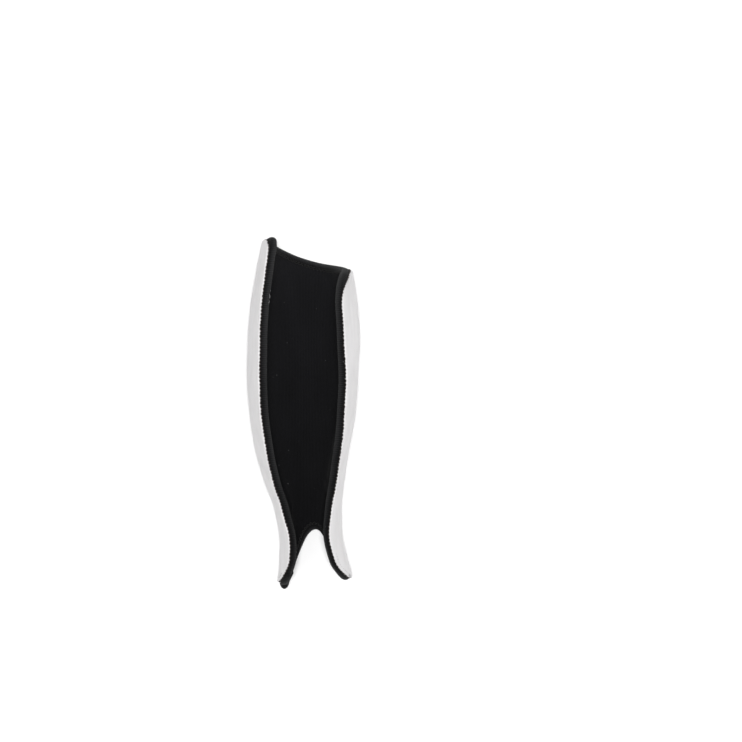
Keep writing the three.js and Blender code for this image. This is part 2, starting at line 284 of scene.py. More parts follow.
def sharp_sides():
    """The four sides of the outline before their corners are rounded."""
    t = np.linspace(0, 1, OUTLINE_STEPS + 1)
    ankle_end, knee_end = -GUARD_LENGTH / 2, GUARD_LENGTH / 2
    high_y = ankle_end + GUARD_LENGTH * t
    low_y = ankle_end + (GUARD_LENGTH - KNEE_DROP) * t
    high = np.stack([-np.radians(high_edge(along_leg(high_y))), high_y], axis=-1)
    low = np.stack([np.radians(low_edge(along_leg(low_y))), low_y], axis=-1)
    knee_turn = high[-1, 0] + (low[-1, 0] - high[-1, 0]) * t
    knee = np.stack([knee_turn, knee_end - KNEE_DROP * knee_drop_share(t)], axis=-1)
    ankle_turn = high[0, 0] + (low[0, 0] - high[0, 0]) * t
    across = np.abs(upright_turn(ankle_turn, ankle_end + ARCH_RISE / 2) - math.radians(ARCH_TURN))
    share = np.minimum(across / math.radians(ARCH_SPREAD), 1) ** ARCH_FLATNESS
    ankle = np.stack([ankle_turn, ankle_end + ARCH_RISE * (1 + np.cos(np.pi * share)) / 2], axis=-1)
    return high, low, knee, ankle


def cutback(radius):
    """How far from a corner its rounding starts along each side."""
    return math.sqrt(2) * (TAPE_LEG + radius)


def half_corner(corner, own_end, other_end):
    """Half of a rounded corner, from its middle to the path's own line."""
    s = np.linspace(0.5, 1, CORNER_STEPS + 1)[:, None]
    return (other_end * (1 - s) + corner * s) * (1 - s) + (corner * (1 - s) + own_end * s) * s


def round_ends(path, start_cut, start_other, end_cut, end_other):
    """A side with its own half of the rounded corner at each end."""
    middle = walk(path, np.linspace(start_cut, path_length(path) - end_cut, OUTLINE_STEPS + 1))
    start = half_corner(path[0], middle[0], start_other)
    end = half_corner(path[-1], middle[-1], end_other)[::-1]
    return np.concatenate([start, middle[1:-1], end])


def rounded_sides():
    """The outline in one round: high side from knee to ankle, ankle edge, low side up, knee edge back."""
    high, low, knee, ankle = sharp_sides()
    high_lobe, low_lobe = cutback(HIGH_LOBE_RADIUS), cutback(LOW_LOBE_RADIUS)
    high_corner, low_corner = cutback(HIGH_CORNER_RADIUS), cutback(LOW_CORNER_RADIUS)

    def back(path, cut):
        return walk(path, path_length(path) - cut)

    high_side = round_ends(high, high_lobe, walk(ankle, high_lobe), high_corner, walk(knee, high_corner))
    low_side = round_ends(low, low_lobe, back(ankle, low_lobe), low_corner, back(knee, low_corner))
    knee_side = round_ends(knee, high_corner, back(high, high_corner), low_corner, back(low, low_corner))
    ankle_side = round_ends(ankle, high_lobe, walk(high, high_lobe), low_lobe, walk(low, low_lobe))
    return [high_side[::-1], ankle_side, low_side, knee_side[::-1]]


SIDES = rounded_sides()
SIDE_LENGTHS = [path_length(path) for path in SIDES]
EDGE_LENGTH = sum(SIDE_LENGTHS)


def soft_track():
    """The whole outline at even lengths, with its last kinks smoothed as cloth smooths them."""
    sharp = np.concatenate([path[:-1] for path in SIDES] + [SIDES[0][:1]])
    lengths = np.arange(0, EDGE_LENGTH, TRACK_STEP)
    even = walk(sharp, lengths)
    farthest = 3 * TRACK_SOFTNESS
    reach = np.arange(-farthest, farthest + TRACK_STEP, TRACK_STEP)
    weights = np.exp(-((reach / TRACK_SOFTNESS) ** 2) / 2)
    soft = sum(weight * np.roll(even, round(step / TRACK_STEP), axis=0)
               for step, weight in zip(reach, weights))
    soft /= weights.sum()
    return np.append(lengths, EDGE_LENGTH), np.concatenate([soft, soft[:1]])


TRACK_LENGTHS, TRACK = soft_track()


def crowded(t, waves=1):
    """Even shares drawn together at each wave's two ends."""
    wave = 2 * math.pi * waves
    return t - CROWDING * np.sin(wave * t) / wave


def places_at(length):
    """Places on the smooth outline, which goes round and round."""
    wrapped = np.mod(length, EDGE_LENGTH)
    return np.stack([np.interp(wrapped, TRACK_LENGTHS, TRACK[:, k]) for k in range(2)], axis=-1)


def stops_at(length):
    """Places on the outline, and the step in turn and y to a millimetre further inside."""
    place = places_at(length)
    before, after = places_at(length - NUDGE), places_at(length + NUDGE)
    radius = turn_radius(place[..., 0], place[..., 1])
    tangent = np.stack([radius * (after[..., 0] - before[..., 0]), after[..., 1] - before[..., 1]], axis=-1)
    tangent /= np.linalg.norm(tangent, axis=-1, keepdims=True)
    return place, np.stack([-tangent[..., 1] / radius, tangent[..., 0]], axis=-1)


def edge_row(stops, inset, depth_in):
    """A row of points at an inset from the outline and a depth, one for each stop."""
    place, inward = stops
    at = place + inward * np.asarray(inset, float)[..., None]
    return wall_point(at[..., 0], at[..., 1], depth_in)


# Depths from the shell's outer face
TAPE_OUTSIDE = SHELL_THICKNESS + FIT_GAP
PAD_OUTSIDE = TAPE_OUTSIDE + TAPE_THICKNESS + FIT_GAP
PAD_INSIDE = PAD_OUTSIDE + EDGE_PAD_THICKNESS
TAPE_INSIDE = PAD_INSIDE + FIT_GAP + TAPE_THICKNESS
EDGE_MIDDLE = (TAPE_OUTSIDE + TAPE_INSIDE) / 2
EDGE_HALF = (TAPE_INSIDE - TAPE_OUTSIDE) / 2

# Where the tape's legs meet its nose
LEG_END = NOSE_LENGTH + NOSE_BLEND


def nose_rows(shrink, start=-math.pi / 2, out=0):
    """Insets and depths round the tape's nose from an angle on, thinner by shrink and longer by out."""
    return [(NOSE_LENGTH - (NOSE_LENGTH - shrink + out) * math.cos(angle),
             EDGE_MIDDLE + (EDGE_HALF - shrink) * math.sin(angle))
            for angle in np.linspace(start, math.pi / 2, NOSE_STEPS + 1)]


def leg_rows(start_inset, end_inset, depth_in, steps=LEG_STEPS):
    """Insets and depths along one leg of the tape."""
    return np.stack([np.linspace(start_inset, end_inset, steps), np.full(steps, float(depth_in))], axis=-1)


def grid_stops(columns, rows):
    """The outline's stations for a wall of columns and rows, and which one a grid line ends at."""
    counts, waves = (rows, columns, rows, columns), (1, ARCH_WAVES, 1, 1)
    sides = zip(np.cumsum([0] + SIDE_LENGTHS), SIDE_LENGTHS, counts, waves)
    lengths = np.concatenate([start + length * crowded(np.arange(count) / count, wave)
                              for start, length, count, wave in sides])

    def station(i, j):
        if i == 0:
            return rows - j
        if j == 0:
            return rows + i
        if i == columns:
            return rows + columns + j
        return (len(lengths) - i) % len(lengths)

    return lengths, station


def uncut(lengths):
    return np.zeros_like(lengths)


def corner_cut(lengths):
    """How much further back the shell's edge is cut round the two corners at the knee."""
    cut = 0
    for corner, (depth, reach) in ((0, HIGH_CORNER_CUT), (sum(SIDE_LENGTHS[:3]), LOW_CORNER_CUT)):
        away = np.mod(lengths - corner + EDGE_LENGTH / 2, EDGE_LENGTH) - EDGE_LENGTH / 2
        cut = cut + depth * np.exp(-((away / reach) ** 2))
    return cut


def inner_places(columns, rows, stops, station):
    """The places inside the tape's leg, as a grid blended from its four sides."""
    place, inward = stops
    border = place + inward * TAPE_LEG
    low = border[[station(0, j) for j in range(rows + 1)]]
    high = border[[station(columns, j) for j in range(rows + 1)]]
    near = border[[station(i, 0) for i in range(columns + 1)]]
    far = border[[station(i, rows) for i in range(columns + 1)]]
    t = crowded(np.arange(rows + 1) / rows)[None, :, None]
    i = np.arange(columns + 1) / columns
    s = (1 - t) * crowded(i, ARCH_WAVES)[:, None, None] + t * crowded(i)[:, None, None]
    across = low[None] * (1 - s) + high[None] * s
    along = near[:, None] * (1 - t) + far[:, None] * t
    corners = (low[0] * (1 - s) + high[0] * s) * (1 - t) + (low[-1] * (1 - s) + high[-1] * s) * t
    return across + along - corners


def add_object(name, data):
    made = bpy.data.objects.new(name, data)
    bpy.context.scene.collection.objects.link(made)
    return made


class Surface:
    """Points in millimetres, quads and a flat place for each point, made into a mesh object."""

    def __init__(self):
        self.points, self.flats, self.quads, self.count = [], [], [], 0

    def add(self, points, flats):
        """Adds points and says their numbers."""
        points, flats = points.reshape(-1, 3), flats.reshape(-1, 2)
        first = self.count
        self.points.append(points)
        self.flats.append(flats)
        self.count += len(points)
        return np.arange(first, self.count)

    def band(self, near, far, closed=True):
        """Joins two rows of points."""
        quads = np.stack([near, np.roll(near, -1), np.roll(far, -1), far], axis=-1)
        self.quads.append(quads if closed else quads[:-1])

    def middle(self):
        points = np.concatenate(self.points)
        return (points.min(axis=0) + points.max(axis=0)) / 2

    def object(self, name, material):
        """Makes the mesh object, with its faces turned outward."""
        points = (np.concatenate(self.points) + SHIFT) * MM
        flats = np.concatenate(self.flats)
        quads = np.concatenate(self.quads)
        a, b, c, d = (points[quads[:, k]] for k in range(4))
        volume = np.einsum("ij,ij->", a, np.cross(b, c)) + np.einsum("ij,ij->", a, np.cross(c, d))
        if volume < 0:
            quads = quads[:, ::-1]
        mesh = bpy.data.meshes.new(name)
        mesh.from_pydata(points.tolist(), [], quads.tolist())
        mesh.polygons.foreach_set("use_smooth", np.ones(len(quads), bool))
        layer = mesh.uv_layers.new(name="cloth")
        layer.data.foreach_set("uv", flats[quads.ravel()].astype(np.float32).ravel())
        mesh.materials.append(material)
        return add_object(name, mesh)


def flat_place(turn, y):
    """Where a place of the wall is on the flat cloth, in millimetres."""
    _, half_width, half_depth, _ = oval_at(y)
    return np.stack([turn * (half_width + half_depth) / 2, y], axis=-1)


def wall_surface(columns, rows, edge_rows, outer_depth, inner_depth, cut_back=uncut):
    """A closed wall: rows from the outer face round the edge to the inner one, and a grid in each face."""
    surface = Surface()
    lengths, station = grid_stops(columns, rows)
    stops = stops_at(lengths)
    place, inward = stops
    cut = cut_back(lengths)
    rings = []
    for inset, depth_in in edge_rows:
        at = place + inward * (inset + cut * (TAPE_LEG - inset) / TAPE_LEG)[:, None]
        rings.append(surface.add(wall_point(*at.T, depth_in), flat_place(*at.T)))
    for near, far in zip(rings, rings[1:]):
        surface.band(near, far)
    inside = inner_places(columns, rows, stops, station)[1:-1, 1:-1]
    for ring, depth_in, flip in ((rings[0], outer_depth, True), (rings[-1], inner_depth, False)):
        index = np.empty((columns + 1, rows + 1), int)
        for i in range(columns + 1):
            index[i, 0], index[i, rows] = ring[station(i, 0)], ring[station(i, rows)]
        for j in range(rows + 1):
            index[0, j], index[columns, j] = ring[station(0, j)], ring[station(columns, j)]
        turn, y = inside[..., 0], inside[..., 1]
        new = surface.add(wall_point(turn, y, depth_in), flat_place(turn, y))
        index[1:-1, 1:-1] = new.reshape(columns - 1, rows - 1)
        quads = np.stack([index[:-1, :-1], index[1:, :-1], index[1:, 1:], index[:-1, 1:]], axis=-1)
        quads = quads.reshape(-1, 4)
        surface.quads.append(quads[:, ::-1] if flip else quads)
    return surface


def shell_surface():
    """The moulded shell, with its cut edge rounded to a lip."""
    angle = np.linspace(0, math.pi / 2, LIP_STEPS + 1)
    lip_inset = SHELL_SETBACK + LIP_RADIUS * (1 - np.sin(angle))
    lip_depth = LIP_RADIUS * (1 - np.cos(angle))
    outside = np.stack([lip_inset, lip_depth], -1)
    inside = np.stack([lip_inset, SHELL_THICKNESS - lip_depth], -1)[::-1]
    lip_end = SHELL_SETBACK + 2 * LIP_RADIUS
    rows = np.concatenate([leg_rows(TAPE_LEG, lip_end, 0), outside, inside,
                           leg_rows(lip_end, TAPE_LEG, SHELL_THICKNESS)])
    return wall_surface(SHELL_COLUMNS, SHELL_ROWS, rows, 0, SHELL_THICKNESS, corner_cut)


def liner_surface():
    """The liner before it swells: a closed pad that the tape pinches round its edge."""
    skin = TAPE_THICKNESS + FIT_GAP
    leg_end = NOSE_LENGTH + PAD_NOSE_BLEND
    rows = np.concatenate([leg_rows(TAPE_LEG, leg_end, TAPE_OUTSIDE + skin, PAD_LEG_STEPS), nose_rows(skin),
                           leg_rows(leg_end, TAPE_LEG, TAPE_INSIDE - skin, PAD_LEG_STEPS)])
    return wall_surface(LINER_COLUMNS, LINER_ROWS, rows, TAPE_OUTSIDE, TAPE_OUTSIDE + PAD_THICKNESS)


def tape_surface():
    """The tape round the liner's edge, a channel with a round nose."""
    surface = Surface()
    length = np.arange(TAPE_STATIONS) * EDGE_LENGTH / TAPE_STATIONS
    stops = stops_at(length)

    def skin(shrink):
        return np.concatenate([leg_rows(TAPE_LEG, LEG_END, TAPE_OUTSIDE + shrink), nose_rows(shrink),
                               leg_rows(LEG_END, TAPE_LEG, TAPE_INSIDE - shrink)])

    section = np.concatenate([skin(0), skin(TAPE_THICKNESS)[::-1]])
    across = np.concatenate([[0], np.cumsum(np.hypot(*np.diff(section, axis=0).T))])
    rings = [surface.add(edge_row(stops, inset, depth_in), np.stack([length, np.full_like(length, v)], -1))
             for (inset, depth_in), v in zip(section, across)]
    for near, far in zip(rings, rings[1:] + rings[:1]):
        surface.band(near, far)
    return surface


def tape_end_surface():
    """The tape's end, folded over the edge and rolled up in layers round the lobe's tip."""
    high_side, ankle_side = SIDE_LENGTHS[:2]
    near_tip = high_side + np.linspace(0, ankle_side / 4, OUTLINE_STEPS)
    tip = near_tip[places_at(near_tip)[:, 1].argmin()]
    roll_start = tip - ROLL_LENGTH / 2
    length = np.linspace(roll_start - END_COVER_LENGTH, roll_start + ROLL_LENGTH, TAPE_END_CUTS)
    stops = stops_at(length)
    share = np.clip((length - roll_start) / ROLL_LENGTH, 0, 1)
    layers = 1 - ROLL_CREASE * np.abs(np.sin(ROLL_LAYERS * math.pi * share)) ** 0.5
    out = ROLL_HEIGHT * np.sin(math.pi * share) ** ROLL_BLUNTNESS * layers
    outer_skin, inner_skin = -FIT_GAP - TAPE_THICKNESS, -FIT_GAP
    rows = [*nose_rows(outer_skin, COVER_FROM, out),
            *leg_rows(LEG_END, TAPE_LEG, TAPE_INSIDE - outer_skin),
            *leg_rows(TAPE_LEG, LEG_END, TAPE_INSIDE - inner_skin),
            *nose_rows(inner_skin, COVER_FROM)[::-1]]
    surface = Surface()
    cuts = []
    for k, (inset, depth_in) in enumerate(rows):
        inset = np.broadcast_to(inset, length.shape)
        flats = np.stack([length, np.full_like(length, k * END_CLOTH_PITCH)], axis=-1)
        cuts.append(surface.add(edge_row(stops, inset, depth_in), flats))
    grid = np.stack(cuts)
    for near, far in zip(grid, np.roll(grid, -1, axis=0)):
        surface.band(near, far, closed=False)
    half = len(rows) // 2
    for column, flip in ((grid[:, 0], False), (grid[:, -1], True)):
        near, far = column[:half], column[half:][::-1]
        quads = np.stack([near[:-1], near[1:], far[1:], far[:-1]], axis=-1)
        surface.quads.append(quads[:, ::-1] if flip else quads)
    return surface


def new_tree(name, kind, inputs, outputs):
    """A node tree with named sockets, and its input and output nodes."""
    tree = bpy.data.node_groups.new(name, kind)
    for way, sockets in (("INPUT", inputs), ("OUTPUT", outputs)):
        for socket_name, socket_type in sockets:
            tree.interface.new_socket(socket_name, in_out=way, socket_type=socket_type)
    return tree, tree.nodes.new("NodeGroupInput"), tree.nodes.new("NodeGroupOutput")


def add_node(tree, kind, values=None, **settings):
    """A node with its settings, its plain input values, and its linked inputs."""
    node = tree.nodes.new(kind)
    for name, value in settings.items():
        setattr(node, name, value)
    for key, value in (values or {}).items():
        if isinstance(value, bpy.types.NodeSocket):
            tree.links.new(value, node.inputs[key])
        else:
            node.inputs[key].default_value = value
    return node


def calculate(tree, operation, *values):
    return add_node(tree, "ShaderNodeMath", dict(enumerate(values)), operation=operation).outputs[0]


def map_range(tree, value, start, end, to_start=0.0, to_end=1.0):
    """A value carried from one range to another and held at its ends."""
    return add_node(tree, "ShaderNodeMapRange", {"Value": value, "From Min": start, "From Max": end,
                                                 "To Min": to_start, "To Max": to_end}).outputs[0]


def combine(tree, *parts):
    return add_node(tree, "ShaderNodeCombineXYZ", dict(enumerate(parts))).outputs[0]


def separate(tree, vector):
    return add_node(tree, "ShaderNodeSeparateXYZ", {0: vector}).outputs


def woven_ground():
    """Shared weave: ribs and threads crossing on a flat place in millimetres, as height and lightness."""
    slub_scale, sway, thread_share, swing, middle, slub_share = 0.35, 0.2, 0.45, 0.34, 0.5, 0.3
    tree, given, made = new_tree(
        "woven_ground", "ShaderNodeTree",
        [("Place", "NodeSocketVector"), ("Rib Pitch", "NodeSocketFloat"), ("Thread Pitch", "NodeSocketFloat"),
         ("Slub", "NodeSocketFloat")],
        [("Height", "NodeSocketFloat"), ("Light", "NodeSocketFloat")])
    slub = add_node(tree, "ShaderNodeTexNoise",
                    {"Vector": given.outputs["Place"], "Scale": slub_scale, "Detail": 2.0}).outputs["Fac"]
    place = separate(tree, given.outputs["Place"])
    drift = calculate(tree, "MULTIPLY", slub, given.outputs["Slub"])

    def wave(along, pitch, phase):
        turns = calculate(tree, "ADD", calculate(tree, "DIVIDE", along, pitch), phase)
        return calculate(tree, "SINE", calculate(tree, "MULTIPLY", turns, 2 * math.pi))

    ribs = wave(place[0], given.outputs["Rib Pitch"], drift)
    threads = wave(place[1], given.outputs["Thread Pitch"], calculate(tree, "MULTIPLY", ribs, sway))
    crossed = calculate(tree, "MULTIPLY_ADD", threads, thread_share, ribs)
    height = calculate(tree, "MULTIPLY_ADD", crossed, swing, middle)
    body = calculate(tree, "MULTIPLY", height, 1 - slub_share)
    light = calculate(tree, "MULTIPLY_ADD", slub, slub_share, body)
    tree.links.new(height, made.inputs["Height"])
    tree.links.new(light, made.inputs["Light"])
    return tree


def soft_mottle():
    """Shared unevenness from 0 to 1: patches stretched along the leg, a fine grain and specks of lint."""
    grain_scale, lint_scale, lint_start, lint_full = 900.0, 420.0, 0.79, 0.84
    tree, given, made = new_tree(
        "soft_mottle", "ShaderNodeTree",
        [("Scale", "NodeSocketFloat"), ("Stretch", "NodeSocketFloat")],
        [("Patches", "NodeSocketFloat"), ("Grain", "NodeSocketFloat"), ("Lint", "NodeSocketFloat")])
    place = add_node(tree, "ShaderNodeTexCoord").outputs["Object"]
    stretch = combine(tree, 1.0, given.outputs["Stretch"], 1.0)
    drawn = add_node(tree, "ShaderNodeVectorMath", {0: place, 1: stretch}, operation="MULTIPLY").outputs[0]

    def noise(vector, scale, **inputs):
        values = {"Vector": vector, "Scale": scale, **inputs}
        return add_node(tree, "ShaderNodeTexNoise", values).outputs["Fac"]

    patches = noise(drawn, given.outputs["Scale"], Detail=3.0, Roughness=0.55)
    grain = noise(place, grain_scale, Detail=2.0)
    lint = map_range(tree, noise(place, lint_scale, Detail=1.0), lint_start, lint_full)
    tree.links.new(patches, made.inputs["Patches"])
    tree.links.new(grain, made.inputs["Grain"])
    tree.links.new(lint, made.inputs["Lint"])
    return tree


WEAVE = woven_ground()
MOTTLE = soft_mottle()


def material_base(name, roughness, **constants):
    """A material with a Principled shader, whose constants are set on its own sockets."""
    material = bpy.data.materials.new(name)
    material.use_nodes = True
    tree = material.node_tree
    shader = tree.nodes["Principled BSDF"]
    shader.inputs["Roughness"].default_value = roughness
    for key, value in constants.items():
        shader.inputs[key.replace("_", " ")].default_value = value
    return material, tree, shader


def place_group(tree, group, values):
    return add_node(tree, "ShaderNodeGroup", values, node_tree=group).outputs


def colour_between(tree, factor, start, end):
    """A colour between two others, each a socket or three plain numbers."""
    a, b = (colour if isinstance(colour, bpy.types.NodeSocket) else (*colour, 1) for colour in (start, end))
    mix = add_node(tree, "ShaderNodeMix", {"Factor": factor, "A": a, "B": b}, data_type="RGBA")
    return mix.outputs["Result"]


def add_bump(tree, shader, height, strength, distance):
    bump = add_node(tree, "ShaderNodeBump", {"Height": height, "Strength": strength, "Distance": distance})
    tree.links.new(bump.outputs["Normal"], shader.inputs["Normal"])


def shell_plastic():
    """Satin moulded plastic, light grey, faintly streaked along the leg."""
    smoothest, grain_roughness, grain_height = 0.36, 0.14, 0.3
    material, tree, shader = material_base("shell_plastic", roughness=0.42, Specular_IOR_Level=0.45)
    mottle = place_group(tree, MOTTLE, {"Scale": 130.0, "Stretch": 0.16})
    colour = colour_between(tree, mottle["Patches"], *SHELL_COLOURS)
    tree.links.new(colour, shader.inputs["Base Color"])
    rough = calculate(tree, "MULTIPLY_ADD", mottle["Grain"], grain_roughness, smoothest)
    tree.links.new(rough, shader.inputs["Roughness"])
    height = calculate(tree, "MULTIPLY_ADD", mottle["Grain"], grain_height, mottle["Patches"])
    add_bump(tree, shader, height, strength=0.25, distance=0.4 * MM)
    return material


def cloth_material(name, colours, rib_pitch, thread_pitch, slub, bump, sheen, ankle_shading, crest):
    """Woven or knitted cloth on its own flat place, with painted shade towards the ankle and off the fold's
    crest, and a painted highlight on the crest.
    """
    weave_share, patch_share = 0.65, 0.35
    material, tree, shader = material_base(name, roughness=0.9, Specular_IOR_Level=0.1,
                                           Sheen_Weight=sheen, Sheen_Roughness=0.5)
    place = add_node(tree, "ShaderNodeUVMap", uv_map="cloth").outputs["UV"]
    weave = place_group(tree, WEAVE, {"Place": place, "Rib Pitch": rib_pitch, "Thread Pitch": thread_pitch,
                                      "Slub": slub})
    mottle = place_group(tree, MOTTLE, {"Scale": 55.0, "Stretch": 0.4})
    along = separate(tree, add_node(tree, "ShaderNodeTexCoord").outputs["Object"])[1]
    # Painted shade: the cloth is darker towards the ankle end, where the light falls off
    painted_ankle_shade = map_range(tree, along, *ANKLE_SHADE_SPAN, -ankle_shading, 0.0)
    round_fold = separate(tree, place)[1]
    # Painted highlight along the tape's crest, where its fold faces the light, and painted shade off the
    # crest towards its edges
    near, far = map_range(tree, round_fold, *CREST_NEAR), map_range(tree, round_fold, *CREST_FAR)
    off_crest_shade = calculate(tree, "SUBTRACT", calculate(tree, "MULTIPLY", near, far), 1.0)
    # The painted shade towards the ankle and the painted light round the crest, together
    painted_shading = calculate(tree, "MULTIPLY_ADD", off_crest_shade, crest, painted_ankle_shade)
    woven = calculate(tree, "MULTIPLY_ADD", weave["Light"], weave_share, painted_shading)
    tone = calculate(tree, "MULTIPLY_ADD", mottle["Patches"], patch_share, woven)
    cloth = colour_between(tree, tone, *colours)
    linty = colour_between(tree, mottle["Lint"], cloth, LINT_COLOUR)
    tree.links.new(linty, shader.inputs["Base Color"])
    add_bump(tree, shader, weave["Height"], bump, distance=0.3 * MM)
    return material


def thread_material(name, colours):
    """Twisted thread."""
    material, tree, shader = material_base(name, roughness=0.55, Specular_IOR_Level=0.35)
    mottle = place_group(tree, MOTTLE, {"Scale": 400.0, "Stretch": 1.0})
    tree.links.new(colour_between(tree, mottle["Patches"], *colours), shader.inputs["Base Color"])
    add_bump(tree, shader, mottle["Grain"], strength=0.4, distance=0.2 * MM)
    return material


def thread_row_tree():
    """Threads one after another along a line: loops or straight stitches, slanted left and right in turn."""
    numbers = ("Pitch", "Half Length", "Foot", "Bow Across", "Bow Out", "Thickness", "Slant", "Unevenness")
    tree, given, made = new_tree(
        "thread_row", "GeometryNodeTree",
        [("Line", "NodeSocketGeometry"), *((name, "NodeSocketFloat") for name in numbers),
         ("Seed", "NodeSocketInt"), ("Material", "NodeSocketMaterial")],
        [("Threads", "NodeSocketGeometry")])
    inputs = given.outputs
    line = add_node(tree, "GeometryNodeMeshToCurve", {"Mesh": inputs["Line"]}).outputs[0]
    spaced = add_node(tree, "GeometryNodeResampleCurve", {"Curve": line, "Length": inputs["Pitch"]},
                      mode="LENGTH").outputs[0]
    back = calculate(tree, "MULTIPLY", inputs["Half Length"], -1.0)
    start = combine(tree, back, inputs["Foot"])
    end = combine(tree, inputs["Half Length"], inputs["Foot"])
    bow = combine(tree, 0.0, inputs["Bow Across"], inputs["Bow Out"])
    path = add_node(tree, "GeometryNodeCurveQuadraticBezier",
                    {"Resolution": THREAD_CUTS, "Start": start, "Middle": bow, "End": end}).outputs[0]
    radius = calculate(tree, "MULTIPLY", inputs["Thickness"], 0.5)
    section = add_node(tree, "GeometryNodeCurvePrimitiveCircle",
                       {"Resolution": THREAD_SIDES, "Radius": radius}).outputs[0]
    thread = add_node(tree, "GeometryNodeCurveToMesh",
                      {"Curve": path, "Profile Curve": section, "Fill Caps": True}).outputs[0]
    outward = add_node(tree, "GeometryNodeInputNamedAttribute", {"Name": "outward"},
                       data_type="FLOAT_VECTOR").outputs["Attribute"]
    tangent = add_node(tree, "GeometryNodeInputTangent").outputs[0]
    facing = add_node(tree, "FunctionNodeAxesToRotation", {0: outward, 1: tangent}, primary_axis="Z",
                      secondary_axis="X").outputs[0]
    index = add_node(tree, "GeometryNodeInputIndex").outputs[0]
    odd = calculate(tree, "MODULO", index, 2.0)
    sign = calculate(tree, "MULTIPLY_ADD", odd, 2.0, -1.0)
    jitter = add_node(tree, "FunctionNodeRandomValue", {"Seed": inputs["Seed"]}, data_type="FLOAT")
    jitter.inputs[2].default_value, jitter.inputs[3].default_value = -1.0, 1.0
    uneven = calculate(tree, "MULTIPLY", jitter.outputs[1], inputs["Unevenness"])
    angle = calculate(tree, "MULTIPLY_ADD", sign, inputs["Slant"], uneven)
    slant = add_node(tree, "FunctionNodeAxisAngleToRotation", {"Axis": (0, 0, 1), "Angle": angle}).outputs[0]
    turned = add_node(tree, "FunctionNodeRotateRotation", {0: facing, 1: slant},
                      rotation_space="LOCAL").outputs[0]
    size_share = 0.5
    size = calculate(tree, "MULTIPLY_ADD", uneven, size_share, 1.0)
    placed = add_node(tree, "GeometryNodeInstanceOnPoints",
                      {"Points": spaced, "Instance": thread, "Rotation": turned,
                       "Scale": combine(tree, size, size, size)}).outputs[0]
    real = add_node(tree, "GeometryNodeRealizeInstances", {0: placed}).outputs[0]
    smooth = add_node(tree, "GeometryNodeSetShadeSmooth", {0: real}).outputs[0]
    finished = add_node(tree, "GeometryNodeSetMaterial", {"Geometry": smooth, "Material": inputs["Material"]})
    tree.links.new(finished.outputs[0], made.inputs["Threads"])
    return tree


def edge_line(name, lengths, inset, depth_in, toward, cut_back):
    """A line along the edge whose points know the way out of the surface, a step of inset and depth."""
    length = np.arange(*lengths, LINE_STEP)
    stops = stops_at(length)
    inset = inset + cut_back(length) * (TAPE_LEG - inset) / TAPE_LEG
    points = edge_row(stops, inset, depth_in)
    other = edge_row(stops, inset + toward[0], depth_in + toward[1])
    outward = (other - points) / np.linalg.norm(other - points, axis=1, keepdims=True)
    mesh = bpy.data.meshes.new(name)
    mesh.from_pydata(((points + SHIFT) * MM).tolist(), [(k, k + 1) for k in range(len(points) - 1)], [])
    mesh.attributes.new("outward", "FLOAT_VECTOR", "POINT").data.foreach_set("vector", outward.ravel())
    return add_object(name, mesh)


def set_threads(line, tree, values):
    """Runs the thread tree on a line and keeps the result as a plain mesh."""
    modifier = line.modifiers.new("threads", "NODES")
    modifier.node_group = tree
    sockets = {item.name: item.identifier for item in tree.interface.items_tree if item.in_out == "INPUT"}
    for name, value in values.items():
        modifier[sockets[name]] = value
    bpy.context.view_layer.update()
    evaluated = line.evaluated_get(bpy.context.evaluated_depsgraph_get())
    mesh = bpy.data.meshes.new_from_object(evaluated)
    line.modifiers.remove(modifier)
    line.data = mesh
    mesh.name = line.name


def points_of(mesh):
    flat = np.empty(len(mesh.vertices) * 3, np.float32)
    mesh.vertices.foreach_get("co", flat)
    return flat.reshape(-1, 3).astype(float)


def from_either_end(count):
    """Cells from the nearer end of a row, for each line inside it."""
    line = np.arange(1, count)
    return np.minimum(line, count - line)


def swell(liner):
    """Lets the pad swell like cloth over foam, held where the tape grips it and on the shell's side."""
    rest = points_of(liner.data)
    from_edge = np.minimum.outer(from_either_end(LINER_COLUMNS), from_either_end(LINER_ROWS)).ravel()
    free = np.zeros(len(rest))
    free[-len(from_edge):] = np.clip((from_edge - 1) / HELD_CELLS, 0, 1)
    group = liner.vertex_groups.new(name="held")
    for level in np.unique(free):
        group.add(np.flatnonzero(free == level).tolist(), 1 - float(level), "REPLACE")
    cloth = liner.modifiers.new("swell", "CLOTH")
    for name, value in SWELL_CLOTH.items():
        setattr(cloth.settings, name, value)
    cloth.settings.vertex_group_mass = "held"
    cloth.settings.effector_weights.gravity = 0
    cloth.collision_settings.use_collision = False
    scene = bpy.context.scene
    for step in range(1, SWELL_FRAMES + 1):
        scene.frame_set(step)
    evaluated = liner.evaluated_get(bpy.context.evaluated_depsgraph_get())
    move = points_of(evaluated.data) - rest
    liner.modifiers.remove(cloth)
    scene.frame_set(1)
    size = np.linalg.norm(move, axis=1, keepdims=True)
    move *= np.minimum(1, SWELL_CAP * MM / np.maximum(size, TINY)) * free[:, None] ** 0.5
    liner.data.vertices.foreach_set("co", (rest + move).astype(np.float32).ravel())
    liner.vertex_groups.remove(group)


def keep(piece, slot, *nodes):
    """Rides the piece on the guard and hides the plain solids that it stands for; its finish's name, slot, is
    not used.
    """
    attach(piece, "root")
    if nodes:
        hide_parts(*nodes)


